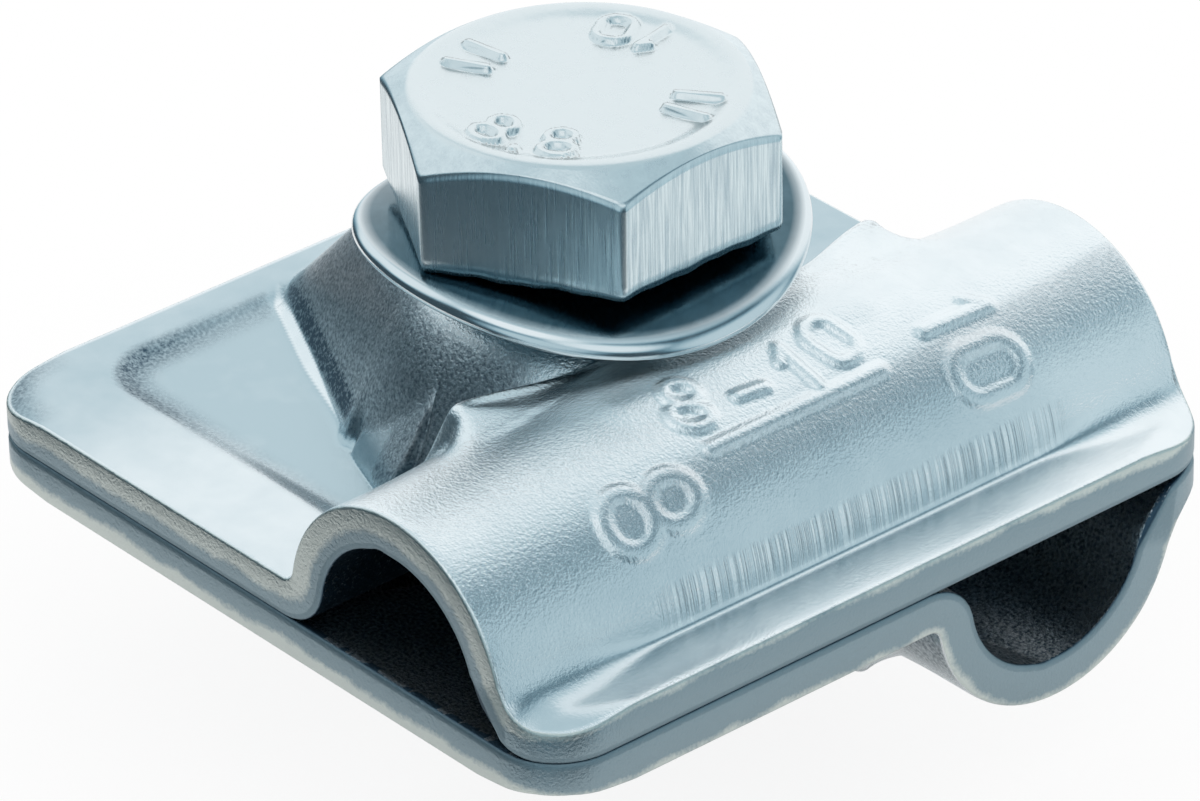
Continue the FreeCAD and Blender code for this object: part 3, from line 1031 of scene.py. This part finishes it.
def spring_steel(colours):
    """Plated spring steel: rolled smooth, so it mirrors softly with faint scuffs; its colour is
    darkened as painted shade, with a painted highlight band on the rim.
    """
    material, tree, shader = new_metal("plated_spring_steel")
    scuff = noise(tree, object_place(tree), 1.6, 4.0, 0.6)
    tone = map_range(tree, scuff, 0.35, 0.65)
    colour = mix_colour(tree, tone, rgba(colours.washer_scuff), rgba(colours.washer))
    # A painted highlight band along the rolled rim
    colour = mix_colour(tree, attribute(tree, "rim"), colour, rgba(colours.washer_rim_highlight))
    rough = map_range(tree, tone, 0.0, 1.0, 0.2, 0.14)
    surface(tree, shader, colour, rough, scuff, 0.2, 0.03)
    return material


class CONNECTOR_OT_plates(bpy.types.Operator):
    """Builds the two pressed clamp plates"""

    bl_idname = "connector.plates"
    bl_label = "Clamp plates"

    def execute(self, context):
        sizes = in_mm(context.scene.connector_plate)
        material = zinc_sheet(context.scene.connector_colours)
        upper = finish_object(pressing(sizes, tapped=False), "clamp_plate_upper", material)
        lower_mesh = pressing(sizes, tapped=True)
        over = Matrix.Rotation(math.pi, 4, Vector((1, 1, 0)))
        bmesh.ops.transform(lower_mesh, matrix=over, verts=lower_mesh.verts[:])
        lower = finish_object(lower_mesh, "clamp_plate_lower", material)
        for piece, body, node in ((upper, "upper", NODES["plate_up"]),
                                  (lower, "lower", NODES["plate_down"])):
            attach(piece, body)
            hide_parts(node)
        return {"FINISHED"}


# Radius of the hexagon's upright edges, step between its face and the chamfer, round at the
# foot of the flats, underside to the thread, and chamfer at the tip
HEX_ROUND = 0.35
FACE_STEP = 0.1
FOOT_ROUND = 0.12
NECK = 2.2
TIP_CHAMFER = 1.0
# Zones of the bolt's outline from the middle of its face to its tip, with the steps in each
FACE, CHAMFER, FLATS, UNDERSIDE, FILLET, THREAD, TIP = range(7)
ZONE_STEPS = {FACE: 63, CHAMFER: 7, FLATS: 14, UNDERSIDE: 5, FILLET: 3, TIP: 4}
THREAD_STEPS = 9
# How much of the head's face finish each zone has
FACE_FINISH = {FACE: 1.0, CHAMFER: 0.6}


def hexagon_radius(angle, flats):
    """Distance from the axis to the side of a hexagon with rounded corners."""
    half = flats / 2
    sector = math.pi / 3
    local = (angle - HEAD_TURN) % sector - sector / 2
    lateral = half * math.tan(abs(local))
    if lateral < (half - HEX_ROUND) * math.tan(sector / 2):
        return half / math.cos(local)
    centre = (half - HEX_ROUND) / math.cos(sector / 2)
    from_corner = sector / 2 - abs(local)
    inside = HEX_ROUND ** 2 - (centre * math.sin(from_corner)) ** 2
    return centre * math.cos(from_corner) + math.sqrt(max(inside, 0.0))


def thread_radius(angle, height, b):
    """Radius of the thread's surface: sixty degree flanks with a flat crest and root."""
    phase = (height / b.pitch - angle / (2 * math.pi)) % 1.0
    flank = abs(phase - 0.5) * 2
    share = min(max((flank - 0.12) / 0.68, 0.0), 1.0)
    return b.shank - (b.shank - b.core) * share


def bolt_stations(b):
    """Zone and share of the zone for each point of the bolt's outline."""
    stations = []
    steps = dict(ZONE_STEPS)
    steps[THREAD] = round((b.base - NECK + b.tip) / (b.pitch / THREAD_STEPS))
    for kind in range(7):
        first = 0 if kind in (FACE, FILLET) else 1
        for k in range(first, steps[kind] + 1):
            stations.append((kind, k / steps[kind]))
    return stations


def bolt_surface(kind, share, angle, b):
    """Radius and height of the bolt's surface at a share of one of its zones."""
    thread_top = b.base - NECK
    if kind == FACE:
        return b.face * share, b.top
    if kind == FILLET:
        height = b.base - 0.1
        return 5.45 - 0.5 * math.sin(share * math.pi / 2), height - (height - thread_top) * share
    if kind == THREAD:
        height = thread_top - (thread_top + b.tip) * share
        start = min(max((thread_top - height) / 1.2, 0.0), 1.0)
        radius = b.shank + (thread_radius(angle, height, b) - b.shank) * start
        return min(radius, b.shank - TIP_CHAMFER + max(height + b.tip, 0.0)), height
    if kind == TIP:
        return (b.shank - TIP_CHAMFER) * (1 - share), -b.tip
    side = hexagon_radius(angle, b.flats)
    wide = side - b.face
    slope = math.tan(HEAD_CHAMFER)
    if kind == CHAMFER:
        return b.face + wide * share, b.top - FACE_STEP - wide * share * slope
    if kind == UNDERSIDE:
        return side - FOOT_ROUND - (side - 5.6) * share, b.base + 0.02 + 0.05 * share
    # The flats' foot is a little uneven, and its last step turns in to the underside
    edge = b.top - FACE_STEP - wide * slope
    uneven = 0.05 * math.sin(angle * 13) + 0.035 * math.sin(angle * 29 + 1.0)
    turn_in = FOOT_ROUND * max(share * ZONE_STEPS[FLATS] - ZONE_STEPS[FLATS] + 1, 0.0)
    return side - turn_in, edge + (b.base + uneven * share ** 6 - edge) * share


def dish_face(verts, b):
    """Sinks the head's face inside its border and raises the marks on it."""
    x = np.array([v.co.x for v in verts])
    y = np.array([v.co.y for v in verts])
    lift, _ = ring_marks(x, y, HEAD_MARKS, HEAD_SOFT)
    radial = np.hypot(x, y) / b.face
    dish = -HEAD_MARK_HEIGHT * (1 - ease((radial - 0.8) / 0.16))
    roll = -FACE_STEP * np.maximum((radial - 0.94) / 0.06, 0.0) ** 2
    height = np.minimum(b.top + dish + roll + HEAD_MARK_HEIGHT * lift, b.top)
    for vert, z in zip(verts, height):
        vert.co.z = z


class CONNECTOR_OT_bolt(bpy.types.Operator):
    """Builds the hexagon bolt with its thread and the raised marks on its head"""

    bl_idname = "connector.bolt"
    bl_label = "Hexagon bolt"

    def execute(self, context):
        b = in_mm(context.scene.connector_bolt)
        bm = bmesh.new()
        zone = bm.verts.layers.int.new("zone")
        part = bm.verts.layers.float.new("part")
        finish = bm.verts.layers.float.new("face")
        stations = bolt_stations(b)
        profile = [(1.0, -float(k)) for k in range(len(stations))]
        profile[0] = (0.0, 0.0)
        profile[-1] = (0.0, profile[-1][1])
        line, edges = outline(bm, profile)
        for vert, (kind, share) in zip(line, stations):
            vert[zone], vert[part] = kind, share
        bmesh.ops.transform(bm, matrix=Matrix.Rotation(HEAD_TURN, 4, "Z"), verts=line)
        spin_round(bm, line + edges, BOLT_STEPS)
        bmesh.ops.remove_doubles(bm, verts=bm.verts[:], dist=1e-5)
        for vert in bm.verts:
            angle = math.atan2(vert.co.y, vert.co.x)
            radius, height = bolt_surface(vert[zone], vert[part], angle, b)
            vert[finish] = FACE_FINISH.get(vert[zone], 0.0)
            vert.co = (radius * math.cos(angle), radius * math.sin(angle), height)
        dish_face([v for v in bm.verts if v[zone] == FACE], b)
        piece = finish_object(bm, "hexagon_bolt", bolt_steel(context.scene.connector_colours))
        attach(piece, "bolt")
        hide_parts(NODES["bolt"])
        return {"FINISHED"}


# Width of the washer's rolled rim and of the painted highlight band on it, and the rounds of its
# hole
RIM_ROLL = 0.6
RIM_HIGHLIGHT_BAND = 0.8
HOLE_ROUND = 0.25
HOLE_ROUND_UNDER = 0.2


def washer_profile(w):
    """Radius and height round the washer's flat section, from its hole's upper edge."""
    hole, under, rim = w.inner + HOLE_ROUND, w.inner + HOLE_ROUND_UNDER, w.outer - RIM_ROLL
    profile = [(hole + (rim - hole) * k / 14, 0.0) for k in range(15)]
    # The rim is rolled fully round
    for out, down in bend_points(RIM_ROLL, w.thick / 2, range(10, 181, 10)):
        profile.append((rim + out, -down))
    for k in range(1, 12):
        profile.append((rim - (rim - under) * k / 11, -w.thick))
    for out, up in bend_points(HOLE_ROUND_UNDER, HOLE_ROUND_UNDER, (30, 60, 90)):
        profile.append((under - out, up - w.thick))
    for out, down in bend_points(HOLE_ROUND, HOLE_ROUND, (90, 60, 30)):
        profile.append((hole - out, -down))
    return profile


class CONNECTOR_OT_washer(bpy.types.Operator):
    """Builds the curved spring washer"""

    bl_idname = "connector.washer"
    bl_label = "Curved spring washer"

    def execute(self, context):
        w = in_mm(context.scene.connector_washer)
        bm = bmesh.new()
        line, edges = outline(bm, washer_profile(w), closed=True)
        spin_round(bm, line + edges, WASHER_STEPS)
        bmesh.ops.remove_doubles(bm, verts=bm.verts[:], dist=1e-5)
        rim = bm.verts.layers.float.new("rim")
        bend = (w.height ** 2 - w.thick ** 2 + w.outer ** 2) / (2 * (w.height - w.thick))
        for vert in bm.verts:
            reach = math.hypot(vert.co.x, vert.co.y)
            # The rim value marks the band of painted highlight along the rolled rim
            vert[rim] = min(max((reach - w.outer + RIM_HIGHLIGHT_BAND) / 0.5, 0.0), 1.0)
            # Rolled round a line: each layer of the sheet keeps its distance from that line
            layer = bend + vert.co.z
            vert.co.z = w.crown - bend + math.sqrt(layer ** 2 - vert.co.x ** 2)
        turn = Matrix.Rotation(WASHER_TURN, 4, "Z")
        bmesh.ops.transform(bm, matrix=turn, verts=bm.verts[:])
        piece = finish_object(bm, "curved_spring_washer",
                              spring_steel(context.scene.connector_colours))
        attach(piece, "washer")
        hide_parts(NODES["washer"])
        return {"FINISHED"}


# Soft windows of the studio tent as seen from the part: direction, cosine of the inner and
# the outer angle, share of the white background that shows through
TENT_WINDOWS = (
    ((-0.45, 0.78, 0.42), 0.79, 0.50, 0.96),
    ((-0.89, -0.03, 0.45), 0.975, 0.87, 0.85),
    ((-0.58, -0.34, 0.74), 0.96, 0.80, 0.85),
    ((0.21, -0.37, 0.91), 0.98, 0.85, 0.95),
    ((0.0, 0.1, 0.99), 0.93, 0.76, 0.62),
    ((0.77, -0.28, 0.57), 0.985, 0.87, 0.85),
    ((0.82, 0.55, 0.12), 0.94, 0.76, 0.64),
    ((0.40, 0.70, -0.60), 0.94, 0.77, 0.6),
    ((0.56, -0.80, 0.17), 0.98, 0.82, 0.6),
)
TENT_RADIUS = 250.0
TENT_LEVEL = 0.5
# The floor: radius and middle of its disc, reach of its paint from the part, share of paint
# that shows the shadow to the eye and to the metal
FLOOR_RADIUS = 70.0
FLOOR_MIDDLE = (-8.0, 24.0, -12.85)
PAINT_REACH = (25.0, 55.0)
FLOOR_PAINT = 0.12
METAL_PAINT = 0.9
WORLD_LEVEL = 0.95
WHITE = (1.0, 1.0, 1.0, 1.0)
# The photograph's camera: directions in radians, distance and shift in millimetres
CAMERA_AZIMUTH = math.radians(49.791)
CAMERA_ELEVATION = math.radians(30.729)
CAMERA_ROLL = 0.0194
CAMERA_DISTANCE = 399.6
CAMERA_RIGHT = 0.64
CAMERA_UP = 1.84
CAMERA_LENS = 254.4


def eye_and_metal(tree):
    """1 for camera, glossy and transmission rays."""
    path = add_node(tree, "ShaderNodeLightPath").outputs
    seen = math_node(tree, "MAXIMUM", path["Is Camera Ray"], path["Is Glossy Ray"])
    return math_node(tree, "MAXIMUM", seen, path["Is Transmission Ray"])


class CONNECTOR_OT_stage(bpy.types.Operator):
    """Sets the pale floor, the studio tent, the world and the camera"""

    bl_idname = "connector.stage"
    bl_label = "Stage"

    def floor(self, colour):
        """A white disc; its painted share near the part keeps the soft shadow."""
        bm = bmesh.new()
        bmesh.ops.create_circle(bm, cap_ends=True, segments=96, radius=FLOOR_RADIUS)
        bmesh.ops.translate(bm, vec=FLOOR_MIDDLE, verts=bm.verts[:])
        material = bpy.data.materials.new("pale_floor")
        tree = bare_tree(material)
        paint = add_node(tree, "ShaderNodeBsdfDiffuse", {"Color": colour})
        glow = add_node(tree, "ShaderNodeEmission", {"Color": WHITE, "Strength": 1.0})
        reach = add_node(tree, "ShaderNodeVectorMath", {0: object_place(tree)},
                         operation="LENGTH").outputs["Value"]
        near, far = PAINT_REACH
        share = map_range(tree, reach, near * MM, far * MM, FLOOR_PAINT, 0.0, "SMOOTHSTEP")
        # The metal sees more of the paint, so that its underside shows the shadow
        path = add_node(tree, "ShaderNodeLightPath").outputs
        boost = math_node(tree, "MULTIPLY_ADD", path["Is Glossy Ray"],
                          METAL_PAINT / FLOOR_PAINT - 1.0, 1.0)
        share = math_node(tree, "MULTIPLY", share, boost)
        share = math_node(tree, "SUBTRACT", 1.0, share)
        share = math_node(tree, "MULTIPLY", share, eye_and_metal(tree))
        mixed = add_node(tree, "ShaderNodeMixShader", {
            0: share, 1: paint.outputs[0], 2: glow.outputs[0]})
        add_node(tree, "ShaderNodeOutputMaterial", {"Surface": mixed.outputs[0]})
        finish_object(bm, "floor", material)

    def tent(self, colour):
        """A dark tent with soft windows, seen by the metal only."""
        bm = bmesh.new()
        bmesh.ops.create_uvsphere(bm, u_segments=64, v_segments=32, radius=TENT_RADIUS)
        material = bpy.data.materials.new("studio_tent")
        tree = bare_tree(material)
        way = add_node(tree, "ShaderNodeVectorMath", {0: object_place(tree)},
                       operation="NORMALIZE").outputs["Vector"]
        level = 0.0
        for direction, inner, outer, strength in TENT_WINDOWS:
            aim = tuple(Vector(direction).normalized())
            near = add_node(tree, "ShaderNodeVectorMath", {0: way, 1: aim},
                            operation="DOT_PRODUCT").outputs["Value"]
            soft = map_range(tree, near, outer, inner, 0.0, strength, "SMOOTHSTEP")
            level = math_node(tree, "MAXIMUM", soft, level)
        # A thinner gap in the cloth lets less red through than blue
        gap = add_node(tree, "ShaderNodeCombineColor", {
            "Red": math_node(tree, "POWER", level, 1.4), "Green": level,
            "Blue": math_node(tree, "POWER", level, 0.86)})
        window = add_node(tree, "ShaderNodeBsdfTransparent", {"Color": gap.outputs[0]})
        cloth = add_node(tree, "ShaderNodeEmission", {"Color": colour, "Strength": TENT_LEVEL})
        both = add_node(tree, "ShaderNodeAddShader", {0: window.outputs[0], 1: cloth.outputs[0]})
        add_node(tree, "ShaderNodeOutputMaterial", {"Surface": both.outputs[0]})
        material.cycles.emission_sampling = "NONE"
        tent = finish_object(bm, "studio_tent", material)
        tent.visible_camera = False
        tent.visible_diffuse = False
        tent.visible_shadow = False

    def world(self, scene):
        """A plain white surround, at full white where the eye or the metal sees it."""
        scene.world = bpy.data.worlds.new("studio")
        tree = bare_tree(scene.world)
        plain, white = [add_node(tree, "ShaderNodeBackground", {
            "Color": WHITE, "Strength": strength}) for strength in (WORLD_LEVEL, 1.0)]
        mixed = add_node(tree, "ShaderNodeMixShader", {
            0: eye_and_metal(tree), 1: plain.outputs[0], 2: white.outputs[0]})
        add_node(tree, "ShaderNodeOutputWorld", {"Surface": mixed.outputs[0]})

    def camera(self, scene):
        """The camera of the photograph."""
        back = Vector((
            math.sin(CAMERA_AZIMUTH) * math.cos(CAMERA_ELEVATION),
            -math.cos(CAMERA_AZIMUTH) * math.cos(CAMERA_ELEVATION),
            math.sin(CAMERA_ELEVATION),
        ))
        level_right = Vector((math.cos(CAMERA_AZIMUTH), math.sin(CAMERA_AZIMUTH), 0.0))
        level_up = back.cross(level_right)
        right = level_right * math.cos(CAMERA_ROLL) - level_up * math.sin(CAMERA_ROLL)
        up = level_right * math.sin(CAMERA_ROLL) + level_up * math.cos(CAMERA_ROLL)
        place = (back * CAMERA_DISTANCE + right * CAMERA_RIGHT + up * CAMERA_UP) * MM
        camera = bpy.data.objects.new("camera", bpy.data.cameras.new("camera"))
        scene.collection.objects.link(camera)
        camera.data.sensor_width = 36.0
        camera.data.lens = CAMERA_LENS
        camera.data.clip_start = 0.01
        camera.matrix_world = Matrix((
            (right.x, up.x, back.x, place.x),
            (right.y, up.y, back.y, place.y),
            (right.z, up.z, back.z, place.z),
            (0.0, 0.0, 0.0, 1.0),
        ))
        scene.camera = camera

    def execute(self, context):
        scene = context.scene
        self.floor(rgba(scene.connector_colours.floor))
        self.tent(rgba(scene.connector_colours.tent))
        self.world(scene)
        self.camera(scene)
        scene.view_settings.view_transform = "Standard"
        return {"FINISHED"}


class CONNECTOR_PT_panel(bpy.types.Panel):
    """Lists the steps that build the connector"""

    bl_idname = "CONNECTOR_PT_panel"
    bl_label = "Cross connector"
    bl_space_type = "VIEW_3D"
    bl_region_type = "UI"
    bl_category = "Connector"

    def draw(self, context):
        for step in STEPS:
            self.layout.operator(step.bl_idname)
        for group in ("plate", "bolt", "washer", "colours"):
            box = self.layout.box()
            owner = getattr(context.scene, "connector_" + group)
            for key in owner.__annotations__:
                box.prop(owner, key)


GROUPS = {
    "connector_plate": CONNECTOR_PG_plate,
    "connector_bolt": CONNECTOR_PG_bolt,
    "connector_washer": CONNECTOR_PG_washer,
    "connector_colours": CONNECTOR_PG_colours,
}
STEPS = (CONNECTOR_OT_plates, CONNECTOR_OT_washer, CONNECTOR_OT_bolt, CONNECTOR_OT_stage)


def register():
    for group in GROUPS.values():
        bpy.utils.register_class(group)
    for name, group in GROUPS.items():
        setattr(bpy.types.Scene, name, PointerProperty(type=group))
    for step in STEPS:
        bpy.utils.register_class(step)
    bpy.utils.register_class(CONNECTOR_PT_panel)


def unregister():
    bpy.utils.unregister_class(CONNECTOR_PT_panel)
    for step in reversed(STEPS):
        bpy.utils.unregister_class(step)
    for name, group in GROUPS.items():
        delattr(bpy.types.Scene, name)
        bpy.utils.unregister_class(group)


def main():
    register()
    bpy.ops.connector.plates()
    bpy.ops.connector.washer()
    bpy.ops.connector.bolt()
    bpy.ops.connector.stage()


if __name__ == "__main__":
    main()
